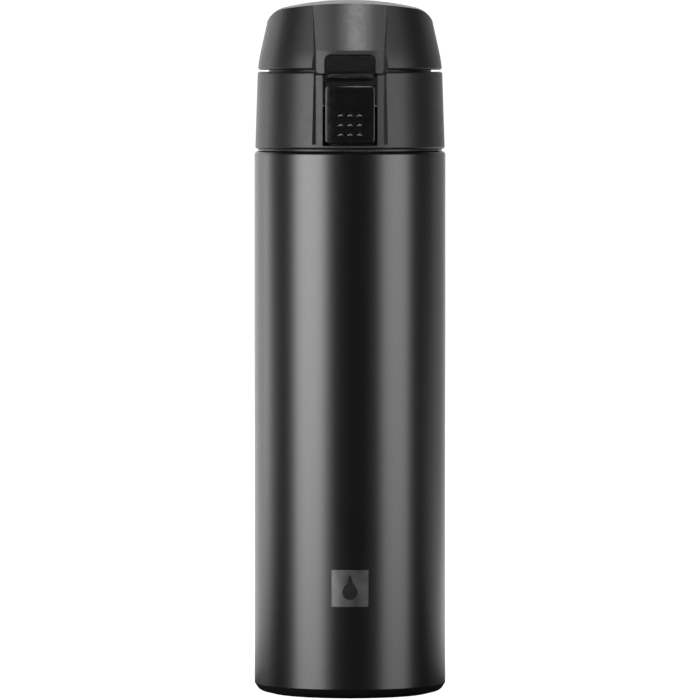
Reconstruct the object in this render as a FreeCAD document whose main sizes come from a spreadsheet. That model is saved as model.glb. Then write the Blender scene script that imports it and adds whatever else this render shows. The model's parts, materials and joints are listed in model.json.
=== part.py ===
"""Vacuum flask with a one-touch flip lid, as a parametric FreeCAD document.

Frame: millimetres, origin at the centre of the base, +Z up, the push button faces -Y and
the lid hinge is at +Y. Every sub-part is an object of the document with its own Label,
which names its STEP file, and its sizes are bound to the sheet "Dims".
"""
import FreeCAD, Part
import math
import os
import re

import Sketcher

Vector = FreeCAD.Vector

# ---------------------------------------------------------------- driving dimensions
DIMENSIONS = {
    # steel body
    "body_radius": 33.0, "shell_wall": 0.8, "shell_foot": 3.5, "shoulder_height": 187.4,
    "neck_radius": 22.9, "neck_top": 203.0, "shoulder_round": 1.2, "neck_round": 1.0,
    "liner_radius": 29.9, "liner_wall": 0.6, "liner_floor": 13.0, "liner_shoulder": 180.0,
    "liner_neck_foot": 185.2, "liner_neck_radius": 21.0, "liner_corner": 7.0,
    "lip_thickness": 0.6,
    "foil_gap": 0.2, "foil_wall": 0.15, "foil_foot": 22.0, "foil_top": 178.0,
    "bottom_plate": 8.2, "port_radius": 1.6, "bead_radius": 3.2, "bead_depth": 1.0,
    "getter_radius": 4.0, "getter_height": 2.2, "getter_offset": 14.0,
    "foot_inner": 20.0, "foot_outer": 27.0, "foot_relief": 1.2,
    "pad_knee_radius": 31.4, "pad_knee_height": 1.1, "pad_knee_round": 3.0,
    "pad_plug_radius": 31.3, "pad_plug_top": 7.0,
    "badge_side": 12.6, "badge_depth": 0.25, "badge_height": 38.2,
    "badge_gap": 0.04,
    # screw thread between the neck and the lid unit
    "thread_lead": 8.0, "thread_rise": 4.4, "thread_root_width": 2.3,
    "thread_crest_width": 1.3, "thread_crest": 24.0, "thread_start": 193.0,
    "thread_bite": 0.15, "inner_thread_crest": 23.2, "inner_thread_start": 191.0,
    # inner housing of the lid unit
    "sleeve_inner": 24.5, "sleeve_outer": 26.2, "sleeve_foot": 189.0,
    "deck_foot": 203.6, "deck_top": 205.6, "rim_radius": 28.0, "rim_inner": 26.2,
    "rim_top": 217.0, "plug_outer": 20.0, "plug_inner": 16.0, "plug_foot": 196.0,
    "gasket_seat": 18.2, "gasket_foot": 197.0, "gasket_top": 200.6,
    "gasket_play": 0.2, "gasket_reach": 20.2, "gasket_lip": 0.5,
    "front_flat": 25.2, "rear_flat": 24.6, "flat_wall": 1.8, "flat_foot": 200.8,
    # drinking spout
    "spout_flange": 21.0, "spout_flange_wall": 1.6, "spout_outer": 13.5,
    "spout_inner": 11.6, "spout_foot": 199.0, "spout_top": 224.0, "spout_lip_round": 0.8,
    # collar
    "collar_foot": 188.2, "collar_foot_radius": 32.75, "collar_top": 214.8,
    "collar_top_radius": 31.9, "collar_wall": 2.2, "collar_floor_top": 189.4,
    "collar_deck": 213.4, "collar_deck_wall": 2.0, "collar_round": 0.8,
    "channel_half": 11.7, "channel_slope": 3.2,
    "seam_foot": 187.6, "seam_inner": 30.0, "seam_outer": 31.8,
    "collar_channel_radius": 31.0, "channel_foot": 189.9, "channel_top_step": 213.6,
    "slot_half": 9.4, "notch_half": 8.0, "notch_foot": 205.0, "reach": 40.0,
    "button_ear_outer": 11.8, "button_ear_half": 1.8,
    "button_ear_back": 25.9, "button_ear_front": 28.3,
    "hinge_ear_outer": 12.0, "hinge_ear_front": 25.4, "hinge_ear_back": 29.4,
    "hinge_ear_foot": 207.3,
    # hinge
    "hinge_depth": 28.0, "hinge_height": 210.5, "hinge_pin_radius": 1.0,
    "hinge_play": 0.05, "knuckle_radius": 2.9, "knuckle_half": 7.6,
    "spring_room": 3.5, "arm_back": 30.8, "arm_top": 219.0,
    "spring_wall": 0.9, "ear_floor": 18.0, "rear_wall_half": 13.0,
    "coil_radius": 1.4, "coil_wire": 0.2, "coil_pitch": 0.95, "coil_turns": 6.0,
    # push button and its pivot
    "button_half": 8.5, "button_foot": 190.15, "button_top": 210.0,
    "button_radius": 32.2, "button_inner": 29.9, "button_corner": 1.4,
    "button_round": 0.45, "pivot_depth": 27.6, "pivot_height": 203.0,
    "pivot_pin_radius": 0.8, "pivot_play": 0.05, "pivot_boss": 1.3,
    "web_half": 8.0, "web_height": 1.1, "relief_foot": 207.3, "relief_depth": 30.0,
    "tooth_half": 5.0, "tooth_foot": 206.3, "tooth_top": 207.2, "button_tooth_tip": 28.1,
    "button_spring_height": 194.5, "button_spring_radius": 2.2,
    "button_spring_wire": 0.25, "button_spring_turns": 3.0,
    # lock slider
    "lock_half": 8.4, "lock_foot": 209.6, "lock_top": 220.3, "lock_front": 29.6,
    "lock_back": 28.3, "lock_corner": 1.4, "ledge_half": 7.8, "ledge_foot": 212.3,
    "ledge_top": 214.0, "ledge_root": 215.0, "ledge_front": 31.9, "ledge_round": 0.3,
    "ledge_lean": 0.5,
    "ledge_end_round": 1.3,
    # flip lid
    "lid_foot": 215.4, "lid_foot_radius": 31.8, "lid_knee": 221.5,
    "lid_knee_radius": 30.9, "lid_cone_top": 242.0, "lid_cone_top_radius": 26.4,
    "lid_top": 239.7, "lid_arch_radius": 100.0, "lid_corner_radius": 9.0,
    "lid_side_half": 28.5, "lid_side_height": 232.4, "lid_rise_radius": 340.0,
    "lid_apex_offset": 6.0, "lid_foot_round": 0.8, "lid_knee_round": 44.0,
    "cavity_radius": 28.9, "cavity_knee": 219.0, "cover_seat": 231.0,
    "cavity_seat_radius": 26.2, "cavity_upper_radius": 24.4, "cavity_shoulder": 233.6,
    "cavity_top": 235.4,
    "lid_channel_radius": 29.9, "panel_foot": 222.0, "panel_foot_radius": 29.94,
    "panel_top": 239.6, "panel_top_radius": 27.02,
    "panel_curve": 27.1, "panel_top_half": 12.9, "lip_foot": 214.2, "lip_half": 12.2,
    "lid_notch_half": 8.8, "lid_notch_top": 220.7, "lid_notch_corner": 2.2,
    "tongue_half": 4.5, "tongue_front": 27.3, "tongue_back": 26.1, "tongue_foot": 205.0,
    "tongue_tooth_top": 205.9, "tongue_tooth_tip": 27.5, "bridge_foot": 221.5,
    "bridge_top": 224.5, "bridge_front": 29.0,
    # inside of the lid
    "cover_radius": 26.15, "cover_wall": 2.0, "cup_outer": 17.0, "cup_inner": 15.5,
    "cup_foot": 224.8, "seal_face": 224.2, "seal_radius": 15.3, "seal_flange": 2.6,
    "seal_stem": 12.5, "seal_boss_foot": 222.8, "seal_boss_foot_radius": 8.5,
    "seal_boss_radius": 9.6,
}

doc = FreeCAD.newDocument("VacuumFlask")
sheet = doc.addObject("Spreadsheet::Sheet", "Dims")
for row, (alias, size) in enumerate(DIMENSIONS.items(), start=1):
    sheet.set(f"A{row}", alias)
    sheet.set(f"B{row}", str(size))
    sheet.setAlias(f"B{row}", alias)
doc.recompute()

WORD = re.compile(r"[a-z][a-z_0-9]*")
SUB_PARTS = []                     # every sub-part, in the order of making


def bound(expression):
    """The expression with each alias written as a reference to the sheet."""
    return WORD.sub(lambda m: "Dims." + m.group(0) if m.group(0) in DIMENSIONS else m.group(0),
                    str(expression))


def value(expression):
    """The number that an expression over the sheet gives now."""
    result = sheet.evalExpression(bound(expression))
    return float(getattr(result, "Value", result))


# ---------------------------------------------------------------- modelling helpers
def new_body(label):
    body = doc.addObject("PartDesign::Body", label)
    body.Label = label
    SUB_PARTS.append(body)
    return body


def new_sketch(body, name, role, offset=None):
    """A sketch on one of the body's own origin planes, moved along its normal by offset."""
    sketch = body.newObject("Sketcher::SketchObject", f"{body.Label}_{name}")
    plane = next(f for f in body.Origin.OriginFeatures if f.Role == role)
    sketch.AttachmentSupport = [(plane, "")]
    sketch.MapMode = "FlatFace"
    if offset is not None:
        sketch.setExpression("AttachmentOffset.Base.z", bound(offset))
    return sketch


def pin_point(sketch, geometry, end, across, up):
    """Hold one end of a line or arc at (across, up), two expressions over the sheet."""
    for kind, axis, expression in (("DistanceX", -2, across), ("DistanceY", -1, up)):
        if abs(value(expression)) < 1e-9:
            sketch.addConstraint(Sketcher.Constraint("PointOnObject", geometry, end, axis))
            continue
        number = sketch.addConstraint(Sketcher.Constraint(kind, geometry, end, value(expression)))
        sketch.setExpression(f"Constraints[{number}]", bound(expression))


def arc_centre(start, stop, radius):
    """Centre of the arc from start to stop; a positive radius bulges to its left."""
    chord = stop - start
    left = Vector(-chord.y, chord.x, 0).normalize()
    sink = math.sqrt(radius ** 2 - (chord.Length / 2) ** 2)
    return (start + stop) * 0.5 - left * math.copysign(sink, radius)


def outline(body, name, role, corners, offset=None):
    """A closed outline. A corner is (across, up) or (across, up, radius of the arc that
    runs from it to the next corner)."""
    sketch = new_sketch(body, name, role, offset)
    points = [Vector(value(c[0]), value(c[1]), 0) for c in corners]
    ends = []
    for index, corner in enumerate(corners):
        start, stop = points[index], points[(index + 1) % len(points)]
        if len(corner) == 2:
            sketch.addGeometry(Part.LineSegment(start, stop))
            ends.append((1, 2))
            continue
        radius = value(corner[2])
        centre, clockwise = arc_centre(start, stop, radius), radius > 0
        first = math.atan2(start.y - centre.y, start.x - centre.x)
        last = math.atan2(stop.y - centre.y, stop.x - centre.x)
        if clockwise:
            first, last = last, first
        base = Part.Circle(centre, Vector(0, 0, 1), abs(radius))
        sketch.addGeometry(Part.ArcOfCircle(base, first, last))
        ends.append((2, 1) if clockwise else (1, 2))
    count = len(corners)
    for index in range(count):
        follower = (index + 1) % count
        sketch.addConstraint(Sketcher.Constraint(
            "Coincident", index, ends[index][1], follower, ends[follower][0]))
    for index, corner in enumerate(corners):
        pin_point(sketch, index, ends[index][0], corner[0], corner[1])
        if len(corner) == 3:
            number = sketch.addConstraint(Sketcher.Constraint(
                "Radius", index, abs(value(corner[2]))))
            sketch.setExpression(f"Constraints[{number}]", bound(f"abs({corner[2]})"))
    return sketch


def circle_sketch(body, name, role, radius, across="0", up="0", offset=None):
    sketch = new_sketch(body, name, role, offset)
    centre = Vector(value(across), value(up), 0)
    sketch.addGeometry(Part.Circle(centre, Vector(0, 0, 1), value(radius)))
    pin_point(sketch, 0, 3, across, up)
    number = sketch.addConstraint(Sketcher.Constraint("Radius", 0, value(radius)))
    sketch.setExpression(f"Constraints[{number}]", bound(radius))
    return sketch


def add_feature(body, kind, name, **settings):
    """A PartDesign feature. Text settings starting with '=' are expressions."""
    before = body.Shape.Volume if not body.Shape.isNull() else 0.0
    feature = body.newObject(f"PartDesign::{kind}", f"{body.Label}_{name}")
    for key, setting in settings.items():
        if isinstance(setting, str) and setting.startswith("="):
            feature.setExpression(key, bound(setting[1:]))
        else:
            setattr(feature, key, setting)
    doc.recompute()
    after = feature.Shape.Volume
    if kind in ("Pocket", "Groove", "SubtractiveLoft") and after >= before - 1e-6:
        raise RuntimeError(f"{feature.Name} cuts nothing: {before} to {after}")
    if kind in ("Pad", "Revolution", "AdditiveHelix") and after <= before + 1e-6:
        raise RuntimeError(f"{feature.Name} adds nothing: {before} to {after}")
    return feature


def spin(body, name, sketch, angle="=360", kind="Revolution"):
    return add_feature(body, kind, name, Profile=sketch, Angle=angle, Midplane=True,
                       ReferenceAxis=(sketch, ["V_Axis"]))


def lathe(label, corners):
    """A body turned about Z from an outline of (radius, height) corners."""
    body = new_body(label)
    spin(body, "turned", outline(body, "profile", "XZ_Plane", corners))
    return body


def slab(body, name, role, corners, depth, kind="Pad", offset=None, middle=False, back=False):
    """A pad or pocket of an outline; back sends it against the sketch's normal."""
    sketch = outline(body, f"{name}_outline", role, corners, offset)
    return add_feature(body, kind, name, Profile=sketch, Length="=" + depth,
                       Midplane=middle, Reversed=back)


def block(half_width, low, high):
    """Corners of an upright rectangle in the XZ plane, symmetric about x = 0."""
    return [(f"-({half_width})", low), (half_width, low), (half_width, high),
            (f"-({half_width})", high)]


def front_block(body, name, half_width, low, high, near, far, kind="Pad"):
    """A block at the front, from depth near to depth far measured towards -Y."""
    return slab(body, name, "XZ_Plane", block(half_width, low, high), f"({far}) - ({near})",
                kind, offset=near, back=(kind == "Pocket"))


def rear_block(body, name, half_width, low, high, near, far, kind="Pad"):
    """A block at the back, from depth near to depth far measured towards +Y."""
    return slab(body, name, "XZ_Plane", block(half_width, low, high), f"({far}) - ({near})",
                kind, offset=f"-({far})", back=(kind == "Pocket"))


def soften(body, name, radius, chosen, kind="Fillet"):
    """Round the edges of the body's tip that the test picks."""
    tip = body.Tip
    edges = [f"Edge{i}" for i, edge in enumerate(tip.Shape.Edges, start=1) if chosen(edge)]
    if not edges:
        raise RuntimeError(f"{body.Label} {name}: no edge chosen")
    size = "Radius" if kind == "Fillet" else "Size"
    return add_feature(body, kind, name, Base=(tip, edges), **{size: "=" + radius})


def ring_edge(radius, height):
    """A test for the round edges about Z at this radius and height."""
    r, z = value(radius), value(height)

    def test(edge):
        box = edge.BoundBox
        if box.ZLength > 0.02 or abs(box.ZMin - z) > 0.02:
            return False
        return abs(math.hypot(*list(edge.valueAt(edge.FirstParameter))[:2]) - r) < 0.02
    return test


def any_of(*tests):
    return lambda edge: any(test(edge) for test in tests)


def thread(body, name, root, crest, start, inward=False):
    """Two starts of a trapezoid thread, rooted thread_bite deep in the wall."""
    bite = "thread_bite" if inward else "-thread_bite"
    wide, narrow = "thread_root_width / 2", "thread_crest_width / 2"
    corners = [(f"{root} + {bite}", f"{start} - {wide}"), (crest, f"{start} - {narrow}"),
               (crest, f"{start} + {narrow}"), (f"{root} + {bite}", f"{start} + {wide}")]
    if inward:
        corners.reverse()
    sketch = outline(body, name, "XZ_Plane", corners)
    helix = add_feature(body, "AdditiveHelix", f"{name}_helix", Profile=sketch,
                        ReferenceAxis=(sketch, ["V_Axis"]), Mode="pitch-height-angle",
                        Pitch="=thread_lead", Height="=thread_rise")
    pattern = body.newObject("PartDesign::PolarPattern", f"{body.Label}_{name}_starts")
    pattern.Originals = [helix]
    pattern.Axis = (sketch, ["V_Axis"])
    pattern.Angle = 360
    pattern.Occurrences = 2
    body.Tip = pattern
    doc.recompute()


def make_coil(label, radius, wire, pitch, turns, start, axis):
    """A sub-part of round wire wound as a helix from start along an axis."""
    helix = Part.makeHelix(value(pitch), value(pitch) * value(turns), value(radius))
    section = Part.Wire([Part.Circle(Vector(value(radius), 0, 0), Vector(0, 1, 0),
                                     value(wire)).toShape()])
    coil = doc.addObject("Part::Feature", label)
    coil.Label = label
    coil.Shape = Part.Wire(helix.Edges).makePipeShell([section], True, True)
    coil.Placement = FreeCAD.Placement(start, FreeCAD.Rotation(Vector(0, 0, 1), axis))
    SUB_PARTS.append(coil)


# ---------------------------------------------------------------- steel body
def make_outer_shell():
    """Drawn steel tube with its shoulder, threaded neck and the shallow badge recess."""
    body = lathe("outer_shell", [
        ("body_radius - shell_wall", "shell_foot"), ("body_radius", "shell_foot"),
        ("body_radius", "shoulder_height"), ("neck_radius", "shoulder_height"),
        ("neck_radius", "neck_top"), ("neck_radius - shell_wall", "neck_top"),
        ("neck_radius - shell_wall", "shoulder_height - shell_wall"),
        ("body_radius - shell_wall", "shoulder_height - shell_wall")])
    soften(body, "shoulder", "shoulder_round", ring_edge("body_radius", "shoulder_height"))
    soften(body, "neck_root", "neck_round", ring_edge("neck_radius", "shoulder_height"))
    half = "badge_side / 2 + badge_gap"
    recess = outline(body, "badge_recess", "YZ_Plane", [
        ("-body_radius - 1", f"badge_height - ({half})"),
        ("-body_radius + badge_depth + badge_gap", f"badge_height - ({half})"),
        ("-body_radius + badge_depth + badge_gap", f"badge_height + {half}"),
        ("-body_radius - 1", f"badge_height + {half}")])
    spin(body, "badge_cut", recess, f"=2 * asin(({half}) / body_radius)", "Groove")
    thread(body, "thread", "neck_radius", "thread_crest", "thread_start")


def make_badge():
    """Thin curved plate that fills the recess flush with the wall."""
    body = new_body("badge_plate")
    half = "badge_side / 2"
    sketch = outline(body, "profile", "YZ_Plane", [
        ("-body_radius", f"badge_height - {half}"),
        ("-body_radius + badge_depth", f"badge_height - {half}"),
        ("-body_radius + badge_depth", f"badge_height + {half}"),
        ("-body_radius", f"badge_height + {half}")])
    spin(body, "plate", sketch, f"=2 * asin({half} / body_radius)")


def make_inner_liner():
    """Steel vessel that holds the drink; its flange closes the gap at the mouth."""
    wall = "liner_wall"
    body = lathe("inner_liner", [
        ("0", "liner_floor"), ("liner_radius", "liner_floor"),
        ("liner_radius", "liner_shoulder"), ("liner_neck_radius", "liner_neck_foot"),
        ("liner_neck_radius", "neck_top - lip_thickness"),
        ("neck_radius - shell_wall", "neck_top - lip_thickness"),
        ("neck_radius - shell_wall", "neck_top"),
        (f"liner_neck_radius - {wall}", "neck_top"),
        (f"liner_neck_radius - {wall}", f"liner_neck_foot - {wall} / 2"),
        (f"liner_radius - {wall}", f"liner_shoulder - {wall} / 2"),
        (f"liner_radius - {wall}", f"liner_floor + {wall}"), ("0", f"liner_floor + {wall}")])
    soften(body, "outer_corner", "liner_corner", ring_edge("liner_radius", "liner_floor"))
    soften(body, "inner_corner", "liner_corner - liner_wall",
           ring_edge("liner_radius - liner_wall", "liner_floor + liner_wall"))


def make_small_steel():
    """Foil wrap, welded bottom plate, getter and the bead that seals the vacuum port."""
    inner = "liner_radius + foil_gap"
    lathe("insulation_foil", [
        (inner, "foil_foot"), (f"{inner} + foil_wall", "foil_foot"),
        (f"{inner} + foil_wall", "foil_top"), (inner, "foil_top")])
    rim = "body_radius - shell_wall"
    plate_top = "bottom_plate + shell_wall"
    lathe("bottom_plate", [
        ("port_radius", "bottom_plate"), (f"{rim} - shell_wall", "bottom_plate"),
        (f"{rim} - shell_wall", "shell_foot"), (rim, "shell_foot"), (rim, plate_top),
        ("port_radius", plate_top)])
    lathe("vacuum_seal_bead", [
        ("0", "bottom_plate - bead_depth"), ("bead_radius - 1", "bottom_plate - bead_depth"),
        ("bead_radius", "bottom_plate"), ("port_radius", "bottom_plate"),
        ("port_radius", plate_top), ("0", plate_top)])
    getter = new_body("getter_pellet")
    disc = circle_sketch(getter, "disc", "XY_Plane", "getter_radius", "getter_offset", "0",
                         plate_top)
    add_feature(getter, "Pad", "pellet", Profile=disc, Length="=getter_height")


def make_base_pad():
    """Black base cap with a round shoulder and a ring to stand on."""
    body = lathe("base_pad", [
        ("0", "foot_relief"), ("foot_inner", "foot_relief"), ("foot_inner + 1", "0"),
        ("foot_outer", "0"), ("pad_knee_radius", "pad_knee_height"),
        ("body_radius", "shell_foot"), ("pad_plug_radius", "shell_foot"),
        ("pad_plug_radius", "pad_plug_top"), ("0", "pad_plug_top")])
    soften(body, "knee", "pad_knee_round", ring_edge("pad_knee_radius", "pad_knee_height"))


# ---------------------------------------------------------------- screw-on lid unit
def make_inner_housing():
    """Moulding with the internal thread, the plug that enters the mouth and the rim."""
    body = lathe("inner_housing", [
        ("plug_inner", "plug_foot"), ("plug_outer", "plug_foot"),
        ("plug_outer", "gasket_foot"), ("gasket_seat", "gasket_foot"),
        ("gasket_seat", "gasket_top"), ("plug_outer", "gasket_top"),
        ("plug_outer", "deck_foot"), ("sleeve_inner", "deck_foot"),
        ("sleeve_inner", "sleeve_foot"), ("sleeve_outer", "sleeve_foot"),
        ("sleeve_outer", "deck_foot"), ("rim_radius", "deck_top"), ("rim_radius", "rim_top"),
        ("rim_inner", "rim_top"), ("rim_inner", "deck_top"), ("plug_inner", "deck_top")])
    front = "button_ear_outer"
    front_block(body, "latch_room", front, "flat_foot", "rim_top + 1", "front_flat", "reach",
                "Pocket")
    rear_block(body, "hinge_room", "rim_radius", "deck_foot + 1", "rim_top + 1",
               "rear_flat", "reach", "Pocket")
    front_block(body, "front_wall", front, "deck_foot", "rim_top",
                "front_flat - flat_wall", "front_flat")
    rear_block(body, "rear_wall", "rear_wall_half", "deck_foot", "rim_top",
               "rear_flat - flat_wall", "rear_flat")
    thread(body, "thread", "sleeve_inner", "inner_thread_crest", "inner_thread_start", True)


def make_seals_and_spout():
    """Silicone rings and the drinking spout with its flange."""
    lathe("neck_gasket", [
        ("gasket_seat + gasket_play", "gasket_foot + gasket_play"),
        ("gasket_reach - gasket_lip", "gasket_foot + gasket_play"),
        ("gasket_reach", "gasket_foot + gasket_play + gasket_lip"),
        ("gasket_reach - gasket_lip", "(gasket_foot + gasket_top) / 2"),
        ("gasket_reach", "gasket_top - gasket_play - gasket_lip"),
        ("gasket_reach - gasket_lip", "gasket_top - gasket_play"),
        ("gasket_seat + gasket_play", "gasket_top - gasket_play")])
    spout = lathe("drinking_spout", [
        ("spout_inner", "spout_foot"), ("spout_outer", "spout_foot"),
        ("spout_outer", "deck_top"), ("spout_flange", "deck_top"),
        ("spout_flange", "deck_top + spout_flange_wall"),
        ("spout_outer", "deck_top + spout_flange_wall"), ("spout_outer", "spout_top"),
        ("spout_inner", "spout_top")])
    soften(spout, "lip", "spout_lip_round", any_of(ring_edge("spout_outer", "spout_top"),
                                                   ring_edge("spout_inner", "spout_top")))
    lathe("spout_gasket", [
        ("spout_outer", "deck_foot"), ("plug_inner", "deck_foot"),
        ("plug_inner", "deck_top"), ("spout_outer", "deck_top")])


def channel(radius, half="channel_half", curve=None):
    """Plan outline of the front channel: a floor that ends at this radius from the axis,
    curved by the same radius unless curve is given, and sides that slope at 45 degrees."""
    floor_y = f"-sqrt(({radius}) ^ 2 - ({half}) ^ 2)"
    side_x, side_y = f"{half} + channel_slope", f"{floor_y} - channel_slope"
    return [(half, floor_y), (side_x, side_y), (side_x, "-reach"),
            (f"-({side_x})", "-reach"), (f"-({side_x})", side_y),
            (f"-({half})", floor_y, f"-({curve or radius})")]


def make_collar():
    """Outer ring of the lid unit: deck, button slot, front channel, hinge and pivot ears."""
    body = lathe("collar_shell", [
        ("sleeve_outer", "collar_foot"), ("seam_inner", "collar_foot"),
        ("seam_inner", "seam_foot"), ("seam_outer", "seam_foot"),
        ("seam_outer", "collar_foot"), ("collar_foot_radius", "collar_foot"),
        ("collar_top_radius", "collar_top"), ("collar_top_radius - 1.6", "collar_top"),
        ("collar_top_radius - collar_wall", "collar_deck"), ("rim_radius", "collar_deck"),
        ("rim_radius", "collar_deck - collar_deck_wall"),
        ("collar_top_radius - collar_wall", "collar_deck - collar_deck_wall"),
        ("collar_foot_radius - collar_wall", "collar_floor_top"),
        ("sleeve_outer", "collar_floor_top")])
    soften(body, "edges", "collar_round", any_of(
        ring_edge("collar_foot_radius", "collar_foot"),
        ring_edge("collar_top_radius", "collar_top")))
    slab(body, "channel", "XY_Plane", channel("collar_channel_radius"),
         "reach", "Pocket", offset="channel_foot", back=True)
    front_block(body, "seam_step", "lip_half + 0.3", "channel_top_step", "collar_top + 1",
                "rim_radius - 1", "reach", "Pocket")
    for side, sign in (("left", "-"), ("right", "")):
        inner, outer = f"{sign}slot_half", f"{sign}button_ear_outer"
        low, high = "pivot_height - button_ear_half", "pivot_height + button_ear_half"
        slab(body, f"{side}_pivot_ear", "XZ_Plane",
             [(inner, low), (outer, low), (outer, high), (inner, high)],
             "button_ear_front - button_ear_back", offset="button_ear_back")
    front_block(body, "button_slot", "slot_half", "collar_floor_top", "collar_top + 1",
                "ear_floor", "reach", "Pocket")
    for side, sign in (("left", "-"), ("right", "")):
        inner, outer = f"{sign}notch_half", f"{sign}hinge_ear_outer"
        slab(body, f"{side}_hinge_ear", "XZ_Plane",
             [(inner, "hinge_ear_foot"), (outer, "hinge_ear_foot"),
              (outer, "collar_deck"), (inner, "collar_deck")],
             "hinge_ear_back - hinge_ear_front", offset="-hinge_ear_back")
    rear_block(body, "hinge_notch", "notch_half", "notch_foot", "collar_top + 1",
               "ear_floor", "reach", "Pocket")
    for name, radius, depth, height, half in (
            ("hinge_bore", "hinge_pin_radius", "hinge_depth", "hinge_height",
             "hinge_ear_outer"),
            ("pivot_bore", "pivot_pin_radius", "-pivot_depth", "pivot_height",
             "button_ear_outer")):
        hole = circle_sketch(body, name, "YZ_Plane", radius, depth, height)
        add_feature(body, "Pocket", f"{name}_cut", Profile=hole, Length=f"=2 * {half}",
                    Midplane=True)


def make_pin(label, radius, length, depth, height):
    """A plain steel pin along X."""
    pin = doc.addObject("Part::Cylinder", label)
    pin.Label = label
    pin.setExpression("Radius", bound(radius))
    pin.setExpression("Height", bound(length))
    pin.Placement = FreeCAD.Placement(Vector(), FreeCAD.Rotation(Vector(0, 1, 0), 90))
    pin.setExpression("Placement.Base.x", bound(f"-({length}) / 2"))
    pin.setExpression("Placement.Base.y", bound(depth))
    pin.setExpression("Placement.Base.z", bound(height))
    SUB_PARTS.append(pin)


def make_springs():
    """Torsion spring on the hinge pin and the small spring behind the button."""
    span = value("coil_pitch * coil_turns")
    make_coil("hinge_spring", "coil_radius", "coil_wire", "coil_pitch", "coil_turns",
              Vector(-span / 2, value("hinge_depth"), value("hinge_height")),
              Vector(1, 0, 0))
    room = value("button_inner - sleeve_outer - 2 * button_spring_wire")
    pitch = room / value("button_spring_turns") * 0.96
    start = Vector(0, -value("sleeve_outer + button_spring_wire") - room * 0.02,
                   value("button_spring_height"))
    make_coil("button_spring", "button_spring_radius", "button_spring_wire", pitch,
              "button_spring_turns", start, Vector(0, -1, 0))


def make_release_button():
    """Glossy push button: a curved plate with a latch tooth, on a bored pivot boss."""
    body = new_body("release_button")
    front_block(body, "plate", "button_half", "button_foot", "button_top",
                "button_inner - 3", "reach")

    def along_y(edge):
        box = edge.BoundBox
        return box.YLength > 2 and box.XLength < 0.01 and box.ZLength < 0.01
    soften(body, "corners", "button_corner", along_y)
    low, high = "button_foot - 1", "button_top + 1"
    for name, near, far in (("front_turn", "button_radius", "reach + 5"),
                            ("back_turn", "0", "button_inner")):
        ring = outline(body, name, "XZ_Plane",
                       [(near, low), (far, low), (far, high), (near, high)])
        spin(body, f"{name}_cut", ring, kind="Groove")
    front = value("button_radius")

    def front_edge(edge):
        """Edges of the front face lie on the button's outer radius."""
        ends = [edge.valueAt(p) for p in (edge.FirstParameter, edge.LastParameter)]
        return all(abs(math.hypot(p.x, p.y) - front) < 0.01 for p in ends)
    soften(body, "front_edges", "button_round", front_edge)
    front_block(body, "lock_relief", "button_half + 1", "relief_foot", "button_top + 1",
                "0", "relief_depth", "Pocket")
    front_block(body, "web", "web_half", "pivot_height - web_height",
                "pivot_height + web_height", "pivot_depth", "button_inner + 0.5")
    front_block(body, "tooth", "tooth_half", "tooth_foot", "tooth_top",
                "button_tooth_tip", "button_inner + 0.5")
    boss = circle_sketch(body, "boss", "YZ_Plane", "pivot_boss", "-pivot_depth",
                         "pivot_height")
    add_feature(body, "Pad", "boss_pad", Profile=boss, Length="=2 * web_half", Midplane=True)
    bore = circle_sketch(body, "bore", "YZ_Plane", "pivot_pin_radius + pivot_play",
                         "-pivot_depth", "pivot_height")
    add_feature(body, "Pocket", "bore_cut", Profile=bore, Length="=4 * web_half",
                Midplane=True)


def make_lock_slider():
    """Safety slide: a plate in the lid's notch with a rounded thumb ledge below it."""
    body = new_body("lock_slider")
    front_block(body, "plate", "lock_half", "lock_foot", "lock_top", "lock_back",
                "lock_front")
    top = value("lock_top")
    soften(body, "corners", "lock_corner",
           lambda e: e.BoundBox.ZLength < 0.01 and e.BoundBox.XLength < 0.01
           and abs(e.BoundBox.ZMin - top) < 0.01)
    slab(body, "ledge", "YZ_Plane", [
        ("-lock_front + 0.4", "ledge_foot"),
        ("-ledge_front + ledge_round", "ledge_foot", "ledge_round"),
        ("-ledge_front", "ledge_foot + ledge_round"),
        ("-ledge_front + ledge_lean", "ledge_top"),
        ("-lock_front", "ledge_root"), ("-lock_front + 0.4", "ledge_root")],
        "2 * ledge_half", middle=True)
    side, face = value("ledge_half"), -value("lock_front") - 0.01

    def ledge_end(edge):
        """The edges at the ledge's two ends, in front of the plate."""
        box = edge.BoundBox
        return (abs(abs(box.XMin) - side) < 0.01 and box.XLength < 0.01
                and box.YLength > 1 and box.YMax > face and box.ZLength > 0.5)
    soften(body, "ledge_ends", "ledge_end_round", ledge_end)


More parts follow.
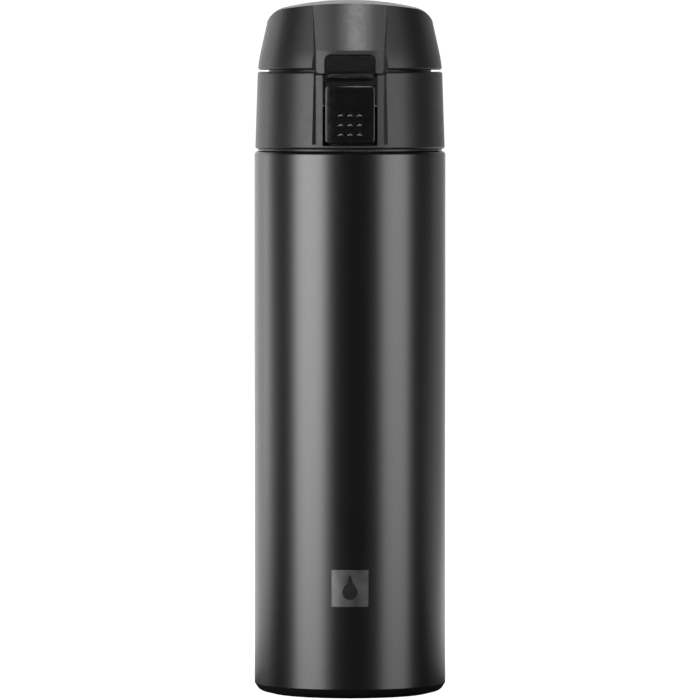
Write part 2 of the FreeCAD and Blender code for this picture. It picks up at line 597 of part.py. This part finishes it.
# ---------------------------------------------------------------- flip lid
def make_flip_lid():
    """Domed lid shell with the thumb panel, the lock notch, latch tongue and knuckles."""
    body = lathe("flip_lid_shell", [
        ("0", "lid_foot"), ("lid_foot_radius", "lid_foot", "-lid_knee_round"),
        ("lid_knee_radius", "lid_knee"),
        ("lid_cone_top_radius", "lid_cone_top"), ("0", "lid_cone_top")])
    soften(body, "foot", "lid_foot_round", ring_edge("lid_foot_radius", "lid_foot"))
    make_arch(body)
    knee = "cavity_radius"
    cavity = outline(body, "cavity", "XZ_Plane", [
        ("0", "lid_foot - 1"), (knee, "lid_foot - 1"), (knee, "cavity_knee"),
        ("cavity_seat_radius", "cover_seat"), ("cavity_upper_radius", "cover_seat"),
        ("cavity_upper_radius", "cavity_shoulder"), ("0", "cavity_top")])
    spin(body, "cavity_cut", cavity, kind="Groove")
    lip = outline(body, "lip", "YZ_Plane", [
        ("-lid_foot_radius + 0.3", "lip_foot"), (f"-{knee}", "lip_foot"),
        (f"-{knee}", "lid_foot + 1.5"), ("-lid_foot_radius + 0.3", "lid_foot + 1.5")])
    spin(body, "lip_ring", lip, "=2 * asin(lip_half / lid_foot_radius)")
    slab(body, "channel", "XY_Plane", channel("lid_channel_radius"),
         "panel_foot - lip_foot + 1", "Pocket", offset="lip_foot - 1", back=True)
    low = outline(body, "panel_low", "XY_Plane",
                  channel("panel_foot_radius", curve="panel_curve"), "panel_foot")
    high = outline(body, "panel_high", "XY_Plane",
                   channel("panel_top_radius", "panel_top_half", "panel_curve"), "panel_top")
    add_feature(body, "SubtractiveLoft", "panel", Profile=low, Sections=[high], Ruled=True)
    front_block(body, "bridge", "tongue_half", "bridge_foot", "bridge_top", "tongue_back",
                "bridge_front")
    front_block(body, "tongue", "tongue_half", "tongue_foot", "bridge_top", "tongue_back",
                "tongue_front")
    front_block(body, "tongue_tooth", "tongue_half", "tongue_foot", "tongue_tooth_top",
                "tongue_back", "tongue_tooth_tip")
    front_block(body, "lock_notch", "lid_notch_half", "lip_foot - 2", "lid_notch_top",
                "tongue_front + 0.3", "reach", "Pocket")
    half, top = value("lid_notch_half"), value("lid_notch_top")

    def notch_corner(edge):
        """The two upper corners of the notch run along Y."""
        box = edge.BoundBox
        return (box.ZLength < 0.01 and box.XLength < 0.01 and box.YLength > 0.5
                and abs(box.ZMin - top) < 0.01 and abs(abs(box.XMin) - half) < 0.01)
    soften(body, "notch_corners", "lid_notch_corner", notch_corner)
    make_lid_knuckles(body)


def make_arch(body):
    """Cut the top to an arch across X that also falls gently to the front and back."""
    side, height = "lid_side_half", "lid_side_height"
    crown_half = "lid_side_half - lid_corner_radius * 0.62"
    crown_drop = f"(lid_arch_radius - sqrt(lid_arch_radius ^ 2 - ({crown_half}) ^ 2))"
    crown = f"lid_top - {crown_drop}"
    out, up = "reach", "lid_top + 8"
    sketch = outline(body, "arch", "XZ_Plane", [
        (f"-{out}", height), (f"-({side})", height, "lid_corner_radius"),
        (f"-({crown_half})", crown, "lid_arch_radius"),
        (crown_half, crown, "lid_corner_radius"), (side, height), (out, height),
        (out, up), (f"-{out}", up)], "-lid_apex_offset")
    axis = sketch.addGeometry(Part.LineSegment(
        Vector(0, value("lid_top - lid_rise_radius"), 0),
        Vector(10, value("lid_top - lid_rise_radius"), 0)), True)
    pin_point(sketch, axis, 1, "0", "lid_top - lid_rise_radius")
    pin_point(sketch, axis, 2, "10", "lid_top - lid_rise_radius")
    add_feature(body, "Groove", "arch_cut", Profile=sketch, Angle=20, Midplane=True,
                ReferenceAxis=(sketch, ["Axis0"]))


def make_lid_knuckles(body):
    """Two arms with bored knuckles on the hinge pin, and room for the spring between."""
    rear_block(body, "arms", "knuckle_half", "hinge_height", "arm_top", "hinge_ear_front",
               "arm_back")
    boss = circle_sketch(body, "knuckle", "YZ_Plane", "knuckle_radius", "hinge_depth",
                         "hinge_height")
    add_feature(body, "Pad", "knuckle_pad", Profile=boss, Length="=2 * knuckle_half",
                Midplane=True)
    rear_block(body, "spring_slot", "spring_room", "hinge_height - 5", "lid_foot",
               "hinge_ear_front - 2", "arm_back - spring_wall", "Pocket")
    bore = circle_sketch(body, "bore", "YZ_Plane", "hinge_pin_radius + hinge_play",
                         "hinge_depth", "hinge_height")
    add_feature(body, "Pocket", "bore_cut", Profile=bore, Length="=4 * knuckle_half",
                Midplane=True)


def make_lid_inside():
    """Inner cover with the cup that holds the seal, and the silicone seal itself."""
    lathe("lid_inner_cover", [
        ("0", "cover_seat - cover_wall"), ("cup_inner", "cover_seat - cover_wall"),
        ("cup_inner", "cup_foot"), ("cup_outer", "cup_foot"),
        ("cup_outer", "cover_seat - cover_wall"),
        ("cover_radius", "cover_seat - cover_wall"), ("cover_radius", "cover_seat"),
        ("0", "cover_seat")])
    lathe("spout_seal", [
        ("0", "seal_boss_foot"), ("seal_boss_foot_radius", "seal_boss_foot"),
        ("seal_boss_radius", "seal_face"), ("seal_radius", "seal_face"),
        ("seal_radius", "seal_face + seal_flange"), ("seal_stem", "seal_face + seal_flange"),
        ("seal_stem", "cover_seat - cover_wall"), ("0", "cover_seat - cover_wall")])


# ---------------------------------------------------------------- document and files
def check_document():
    """Stop if any object failed or any sub-part has no sound solid."""
    for item in doc.Objects:
        if "Invalid" in item.State or "Error" in item.State:
            raise RuntimeError(f"{item.Name} is in state {item.State}")
    for part in SUB_PARTS:
        if part.Shape.isNull() or not part.Shape.isValid() or part.Shape.Volume <= 0:
            raise RuntimeError(f"{part.Label} has no valid solid")


def main():
    make_outer_shell()
    make_badge()
    make_inner_liner()
    make_small_steel()
    make_base_pad()
    make_inner_housing()
    make_seals_and_spout()
    make_collar()
    make_pin("hinge_pin", "hinge_pin_radius", "2 * hinge_ear_outer", "hinge_depth",
             "hinge_height")
    make_pin("button_pivot_pin", "pivot_pin_radius", "2 * button_ear_outer",
             "-pivot_depth", "pivot_height")
    make_springs()
    make_release_button()
    make_lock_slider()
    make_flip_lid()
    make_lid_inside()
    doc.recompute()
    check_document()
    os.makedirs("parts", exist_ok=True)
    for part in SUB_PARTS:
        part.Shape.exportStep(f"parts/{part.Label}.step")
        print(f"{part.Label:18s} {len(part.Shape.Solids)} solid(s) "
              f"{part.Shape.Volume / 1000:9.3f} cm3")


main()
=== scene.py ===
"""Looks of the vacuum flask: studio, camera, procedural materials and fine mesh detail.

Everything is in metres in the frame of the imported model: the flask stands on z = 0, its
push button faces -Y and its lid hinge is at +Y.
"""
import json
import math

import bmesh
import bpy
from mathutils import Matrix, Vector


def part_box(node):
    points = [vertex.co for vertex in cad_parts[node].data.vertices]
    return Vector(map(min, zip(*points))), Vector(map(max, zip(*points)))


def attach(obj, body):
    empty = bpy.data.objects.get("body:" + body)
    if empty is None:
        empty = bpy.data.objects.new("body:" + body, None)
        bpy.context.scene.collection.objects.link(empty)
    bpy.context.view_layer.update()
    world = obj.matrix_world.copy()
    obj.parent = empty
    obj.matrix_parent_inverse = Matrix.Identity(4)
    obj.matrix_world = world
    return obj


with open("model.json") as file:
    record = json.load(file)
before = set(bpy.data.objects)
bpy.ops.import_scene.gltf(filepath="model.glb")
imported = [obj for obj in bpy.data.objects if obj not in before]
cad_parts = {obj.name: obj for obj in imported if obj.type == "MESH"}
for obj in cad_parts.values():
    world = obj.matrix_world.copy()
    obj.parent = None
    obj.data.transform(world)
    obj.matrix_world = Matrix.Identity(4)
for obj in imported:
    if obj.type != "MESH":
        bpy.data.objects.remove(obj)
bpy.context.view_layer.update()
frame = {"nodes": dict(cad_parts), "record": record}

MM = 0.001
BODY_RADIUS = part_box("outer_shell")[1][0]
MIX_FACTOR, MIX_FIRST, MIX_SECOND, MIX_RESULT = 0, 6, 7, 2   # a Mix node's colour sockets

# ------------------------------------------------------------------ materials


class Finish:
    """Builds one procedural material node by node."""

    def __init__(self, name):
        self.material = bpy.data.materials.new(name)
        self.material.use_nodes = True
        self.tree = self.material.node_tree
        self.shader = self.tree.nodes["Principled BSDF"]
        self.place = self.node("ShaderNodeTexCoord").outputs["Object"]

    def node(self, kind, **settings):
        """A new node; each setting is an input's value or the node's own property."""
        node = self.tree.nodes.new(kind)
        for key, setting in settings.items():
            if key in node.inputs:
                node.inputs[key].default_value = setting
            else:
                setattr(node, key, setting)
        return node

    def link(self, source, target):
        self.tree.links.new(source, target)

    def fixed(self, **values):
        """Constants set on the shader's own sockets; _ stands for a space in the name."""
        for key, number in values.items():
            self.shader.inputs[key.replace("_", " ")].default_value = number
        return self

    def noise(self, scale, detail=3.0, stretch=None):
        """Noise of about 1/scale metres; stretch scales the three directions."""
        node = self.node("ShaderNodeTexNoise", Scale=scale, Detail=detail)
        vector = self.place
        if stretch:
            mapping = self.node("ShaderNodeMapping", Scale=stretch)
            self.link(vector, mapping.inputs["Vector"])
            vector = mapping.outputs["Vector"]
        self.link(vector, node.inputs["Vector"])
        return node.outputs["Fac"]

    def ramp(self, fac, low, high, start=0.35, stop=0.65):
        """Maps start..stop of a field to low..high; noise stays mostly in 0.35..0.65."""
        node = self.node("ShaderNodeMapRange")
        for key, number in (("From Min", start), ("From Max", stop), ("To Min", low),
                            ("To Max", high)):
            node.inputs[key].default_value = number
        self.link(fac, node.inputs["Value"])
        return node.outputs["Result"]

    def colours(self, fac, dark, light):
        """Mixes two colours by a field into the base colour."""
        node = self.node("ShaderNodeMix", data_type="RGBA")
        node.inputs[MIX_FIRST].default_value = (*dark, 1)
        node.inputs[MIX_SECOND].default_value = (*light, 1)
        self.link(self.ramp(fac, 0, 1), node.inputs[MIX_FACTOR])
        self.link(node.outputs[MIX_RESULT], self.shader.inputs["Base Color"])
        return self

    def roughness(self, fac, low, high):
        """Varies the roughness by a field."""
        self.link(self.ramp(fac, low, high), self.shader.inputs["Roughness"])
        return self

    def bumps(self, *layers):
        """Layers of (height field, distance in metres, strength), coarse to fine."""
        normal = None
        for fac, distance, strength in layers:
            bump = self.node("ShaderNodeBump", Strength=strength, Distance=distance)
            self.link(fac, bump.inputs["Height"])
            if normal:
                self.link(normal, bump.inputs["Normal"])
            normal = bump.outputs["Normal"]
        self.link(normal, self.shader.inputs["Normal"])
        return self


def grey(level):
    """A neutral colour, faintly cool."""
    return (level, level, level * 1.02)


def painted_steel():
    """Satin black paint: fine orange peel and faint cloudiness."""
    f = Finish("body_paint").fixed(IOR=1.80)
    f.colours(f.noise(45), grey(0.0045), grey(0.0060))
    f.roughness(f.noise(900, 4), 0.290, 0.310)
    return f.bumps((f.noise(1400, 2), 0.00001, 0.05), (f.noise(6000, 2), 0.00001, 0.08))


def moulded_plastic(name, level, smooth, rough, grain=0.30):
    """Black moulding with a fine spark-eroded grain."""
    f = Finish(name).fixed(IOR=1.5)
    f.colours(f.noise(60), grey(level * 0.92), grey(level * 1.1))
    f.roughness(f.noise(700, 4), smooth, rough)
    return f.bumps((f.noise(2600, 3), 0.00003, grain), (f.noise(7000, 2), 0.00001, grain))


def glossy_plastic():
    """Polished black moulding of the push button."""
    f = Finish("button_gloss").fixed(IOR=1.5, Coat_Weight=0.4, Coat_Roughness=0.06)
    f.colours(f.noise(80), grey(0.004), grey(0.005))
    f.roughness(f.noise(500, 3), 0.12, 0.18)
    return f.bumps((f.noise(900, 2), 0.00002, 0.05))


def brushed_metal(name, level, stretch, smooth=0.22, rough=0.36):
    """Steel or aluminium with fine drawn lines along the direction of small stretch."""
    f = Finish(name).fixed(Metallic=1.0)
    lines = f.noise(1500, 4, stretch)
    f.colours(lines, grey(level * 0.88), grey(level))
    f.roughness(f.noise(300, 3), smooth, rough)
    return f.bumps((lines, 0.00001, 0.25))


def silicone():
    f = Finish("silicone").fixed(IOR=1.43, Subsurface_Weight=0.05)
    f.colours(f.noise(70), grey(0.075), grey(0.095))
    f.roughness(f.noise(500, 3), 0.42, 0.55)
    return f.bumps((f.noise(3000, 2), 0.00002, 0.2))


def mottled(name, dark, light, scale, rough):
    """Pressed powder, glass bead and other small plain matter."""
    f = Finish(name)
    f.colours(f.noise(scale), grey(dark), grey(light))
    f.roughness(f.noise(scale * 2), rough * 0.85, rough)
    return f.bumps((f.noise(scale * 5), 0.00003, 0.3))


def make_finishes():
    """One material for each material slot of the record."""
    upright, across = (1, 1, 0.03), (0.03, 1, 1)
    finishes = {
        "body_paint": painted_steel(),
        "badge": brushed_metal("badge", 0.42, across, 0.34, 0.42),
        "liner_steel": brushed_metal("liner_steel", 0.60, upright),
        "foil": brushed_metal("foil", 0.85, None, 0.12, 0.25),
        "seal_glass": mottled("seal_glass", 0.05, 0.09, 900, 0.3),
        "getter": mottled("getter", 0.14, 0.22, 1500, 0.8),
        "base_plastic": moulded_plastic("base_plastic", 0.008, 0.42, 0.52),
        "lid_plastic": moulded_plastic("lid_plastic", 0.009, 0.34, 0.40),
        "silicone": silicone(),
        "pin_steel": brushed_metal("pin_steel", 0.55, across),
        "pin_black": mottled("pin_black", 0.010, 0.014, 1200, 0.4),
        "spring_steel": brushed_metal("spring_steel", 0.50, None),
        "button_gloss": glossy_plastic(),
        "lock_plastic": moulded_plastic("lock_plastic", 0.008, 0.16, 0.22, 0.10),
    }
    return {name: finish.material for name, finish in finishes.items()}


FINISH = make_finishes()


def dress_frame():
    """Give every CAD node the finish of its material slot."""
    for entry in frame["record"]["subparts"]:
        thing = frame["nodes"][entry["node"]]
        material = FINISH[entry["material_slot"]]
        if not thing.material_slots:
            thing.data.materials.append(material)
        for place in thing.material_slots:
            place.material = material


# ------------------------------------------------------------------ mesh helpers


def new_piece(name, mesh, body, slot):
    """Finish a bmesh as an object that rides on a body with its slot's material."""
    data = bpy.data.meshes.new(name)
    bmesh.ops.recalc_face_normals(mesh, faces=mesh.faces)
    mesh.to_mesh(data)
    mesh.free()
    piece = bpy.data.objects.new(name, data)
    bpy.context.collection.objects.link(piece)
    data.materials.append(FINISH[slot])
    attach(piece, body)
    return piece


def on_wall(radius, across, height):
    """The point of an upright cylinder's front that stands at x = across."""
    return Vector((across, -math.sqrt(radius * radius - across * across), height))


def sheet_mesh(rows):
    """A bmesh sheet through rows of points, merged where points coincide."""
    mesh = bmesh.new()
    lines = [[mesh.verts.new(point) for point in row] for row in rows]
    for last, line in zip(lines, lines[1:]):
        for index in range(len(line) - 1):
            mesh.faces.new((last[index], last[index + 1], line[index + 1], line[index]))
    bmesh.ops.remove_doubles(mesh, verts=mesh.verts, dist=0.001 * MM)
    return mesh


# ------------------------------------------------------------------ fine detail


def add_dome(mesh, seat, width, rise, sunk, rings=6, spokes=20):
    """A closed low dome on the wall at seat, with its foot sunk into the wall."""
    curve = (width * width / 4 + rise * rise) / (2 * rise)
    widest = math.asin(width / 2 / curve)
    out = Vector((seat.x, seat.y, 0)).normalized()
    side, up = Vector((0, 0, 1)).cross(out), Vector((0, 0, 1))
    middle = seat + out * (rise - curve)
    turns = [2 * math.pi * spoke / spokes for spoke in range(spokes)]
    last = None
    for ring in range(rings + 1):
        tilt = widest * (1 - ring / rings)
        depth = sunk if ring == 0 else 0
        reach, climb = curve * math.sin(tilt), curve * math.cos(tilt) - depth
        if ring == rings:
            loop = [mesh.verts.new(middle + out * climb)] * spokes
        else:
            loop = [mesh.verts.new(middle + out * climb + reach * (
                side * math.cos(turn) + up * math.sin(turn))) for turn in turns]
        if last:
            for spoke in range(spokes):
                after = (spoke + 1) % spokes
                corners = [last[spoke], last[after], loop[after], loop[spoke]]
                mesh.faces.new(list(dict.fromkeys(corners)))
        else:
            mesh.faces.new(loop)
        last = loop


def make_grip_points():
    """Three rows of small domes on the lower half of the push button."""
    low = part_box("release_button")[0]
    pitch, first, width, rise, sunk = 3.3 * MM, 2.95 * MM, 1.9 * MM, 0.45 * MM, 0.1 * MM
    mesh = bmesh.new()
    for column in (-1, 0, 1):
        for row in range(3):
            seat = on_wall(-low[1], column * pitch, low[2] + first + row * pitch)
            add_dome(mesh, seat, width, rise, sunk)
    for facet in mesh.faces:
        facet.smooth = len(facet.verts) < 5
    return new_piece("grip_points", mesh, "button", "button_gloss")


def make_thumb_crescent():
    """The polished crescent on the leaning front of the lock slider's ledge."""
    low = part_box("lock_slider")[0]
    half, foot, rise, columns, rows = 7.4 * MM, low[2] + 3.0 * MM, 1.4 * MM, 40, 6
    lean, lift, thickness = 0.5 / 1.4, 0.03 * MM, 0.1 * MM
    shares = [column / columns for column in range(-columns, columns + 1)]
    grid = []
    for row in range(rows + 1):
        climbs = [rise * math.sqrt(1 - share * share) * row / rows for share in shares]
        grid.append([(half * share, low[1] + lean * climb - lift, foot + climb)
                     for share, climb in zip(shares, climbs)])
    crescent = new_piece("thumb_crescent", sheet_mesh(grid), "lock", "button_gloss")
    crescent.modifiers.new("thickness", "SOLIDIFY").thickness = thickness
    return crescent


def make_drop_mark():
    """A generic water drop printed on the badge, in the paint of the body."""
    low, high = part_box("badge_plate")
    lift, thickness, rows, columns = 0.01 * MM, 0.06 * MM, 40, 8
    belly_radius, tip_height, belly_drop = 2.6 * MM, 6.0 * MM, 1.4 * MM
    belly = (low[2] + high[2]) / 2 - belly_drop
    touch = math.asin(belly_radius / tip_height)
    widths = []
    for row in range(rows + 1):
        turn = -math.pi / 2 + (math.pi / 2 + touch) * row / rows
        widths.append((belly_radius * math.cos(turn), belly + belly_radius * math.sin(turn)))
    widths.append((0.0, belly + tip_height))
    grid = [[on_wall(BODY_RADIUS + lift, half * column / columns, height)
             for column in range(-columns, columns + 1)] for half, height in widths]
    drop = new_piece("badge_drop", sheet_mesh(grid), "bottle", "body_paint")
    drop.modifiers.new("thickness", "SOLIDIFY").thickness = thickness
    return drop


# ------------------------------------------------------------------ studio


def softbox(name, azimuth, distance, height, size, power, aim=0.12):
    """A rectangular light pointed at height aim.

    Azimuth is in degrees from the camera's side, positive to the right. Lengths are in
    metres and power is in watts.
    """
    turn = math.radians(azimuth)
    data = bpy.data.lights.new(name, "AREA")
    data.shape = "RECTANGLE"
    data.size, data.size_y = size
    data.energy = power
    lamp = bpy.data.objects.new(name, data)
    lamp.location = (distance * math.sin(turn), -distance * math.cos(turn), height)
    sight = Vector((0, 0, aim)) - lamp.location
    lamp.rotation_euler = sight.to_track_quat("-Z", "Y").to_euler()
    lamp.visible_camera = False
    bpy.context.collection.objects.link(lamp)
    return lamp


def keep_off(lamp, things):
    """Shade these objects from a lamp, as a flag does in a studio."""
    shaded = bpy.data.collections.new(lamp.name + "_flag")
    for thing in things:
        shaded.objects.link(thing)
    for entry in shaded.collection_objects:
        entry.light_linking.link_state = "EXCLUDE"
    lamp.light_linking.receiver_collection = shaded


def room_paint():
    """White paint, bright enough to stay white in every view."""
    f = Finish("room_paint").fixed(Roughness=0.9)
    f.shader.inputs["Emission Color"].default_value = (1, 1, 1, 1)
    f.shader.inputs["Emission Strength"].default_value = 1.0
    f.colours(f.noise(2), grey(0.80), grey(0.84))
    return f.material


def reflector_paper():
    """White paper that glows behind the flask and fades out in front and to the right."""
    f = Finish("reflector_paper").fixed(Roughness=0.9)
    f.shader.inputs["Emission Color"].default_value = (1, 1, 1, 1)
    f.colours(f.noise(2), grey(0.50), grey(0.52))
    split = f.node("ShaderNodeSeparateXYZ")
    f.link(f.place, split.inputs[0])
    behind = f.ramp(split.outputs["Y"], 0.0, 1.0, 0.06, 0.28)
    aside = f.ramp(split.outputs["X"], 1.0, 0.35, 0.25, 0.6)
    glow = f.node("ShaderNodeMath", operation="MULTIPLY")
    f.link(behind, glow.inputs[0])
    f.link(aside, glow.inputs[1])
    f.link(glow.outputs[0], f.shader.inputs["Emission Strength"])
    return f.material


def stage_sheet(name, rows, paint):
    """A sheet of the stage through rows of points."""
    mesh = sheet_mesh(rows)
    data = bpy.data.meshes.new(name)
    mesh.to_mesh(data)
    mesh.free()
    data.materials.append(paint)
    sheet = bpy.data.objects.new(name, data)
    bpy.context.collection.objects.link(sheet)
    return sheet


def cove(near, bend, rise, steps=16):
    """The (distance, height) line of a floor that curves up into a wall."""
    turns = [math.pi / 2 * step / steps for step in range(steps + 1)]
    line = [(near + bend * math.sin(turn), bend * (1 - math.cos(turn))) for turn in turns]
    return line + [(near + bend, rise)]


def make_room():
    """A round white room with a pale floor, which only the camera sees."""
    centre, floor, bend, ceiling, sides = 0.02, 4.0, 1.0, 5.0, 64
    line = [(centre, 0.0)] + cove(floor, bend, ceiling) + [(centre, ceiling)]
    around = [2 * math.pi * side / sides for side in range(sides + 1)]
    room = stage_sheet("room", [[(reach * math.cos(turn), reach * math.sin(turn), height)
                                 for reach, height in line] for turn in around],
                       room_paint())
    for sight in ("diffuse", "glossy", "transmission", "shadow"):
        setattr(room, "visible_" + sight, False)


def make_reflector():
    """The paper behind the flask that lights its edges; the camera looks through it."""
    start, near, bend, rise, half_width = 0.06, 0.8, 0.8, 1.8, 2.5
    line = [(start, 0.0)] + cove(near, bend, rise)
    rows = [[(x, y, z) for y, z in line] for x in (-half_width, half_width)]
    stage_sheet("reflector", rows, reflector_paper()).visible_camera = False


def make_studio():
    """Two upright softboxes, one over the lid, a rim light and a glowing reflector."""
    world = bpy.data.worlds.new("studio")
    world.use_nodes = True
    sky = world.node_tree.nodes["Background"]
    sky.inputs["Color"].default_value = (1, 1, 1, 1)
    sky.inputs["Strength"].default_value = 0.01
    bpy.context.scene.world = world
    bpy.context.scene.view_settings.view_transform = "Standard"
    make_room()
    make_reflector()
    softbox("key_left", azimuth=-49, distance=1.2, height=0.25, size=(0.86, 0.70), power=9.9)
    softbox("key_right", azimuth=56, distance=1.2, height=0.25, size=(0.78, 0.70), power=5.2)
    front_top = softbox("front_top", azimuth=10, distance=1.1, height=0.72,
                        size=(1.15, 0.34), power=1.5, aim=0.26)
    front_top.data.spread = math.radians(50)
    bodies = frame["record"]["behaviour"]["bodies"]
    keep_off(front_top, [frame["nodes"][node] for node in bodies["bottle"]])
    softbox("rim_left", azimuth=-118, distance=1.2, height=0.30, size=(0.35, 0.6), power=1.0)


def make_camera():
    """A long lens, almost level with the lid, that just takes in the flask's height."""
    data = bpy.data.cameras.new("camera")
    camera = bpy.data.objects.new("camera", data)
    bpy.context.collection.objects.link(camera)
    distance, level, middle, frame_height = 2.65, 0.215, 0.1186, 0.2421
    camera.location = (0, -distance, level)
    aim = Vector((0, 0, middle)) - camera.location
    camera.rotation_euler = aim.to_track_quat("-Z", "Y").to_euler()
    data.sensor_width = 36
    data.lens = data.sensor_width * aim.length / frame_height
    bpy.context.scene.camera = camera


make_camera()
make_studio()
dress_frame()
make_grip_points()
make_thumb_crescent()
make_drop_mark()
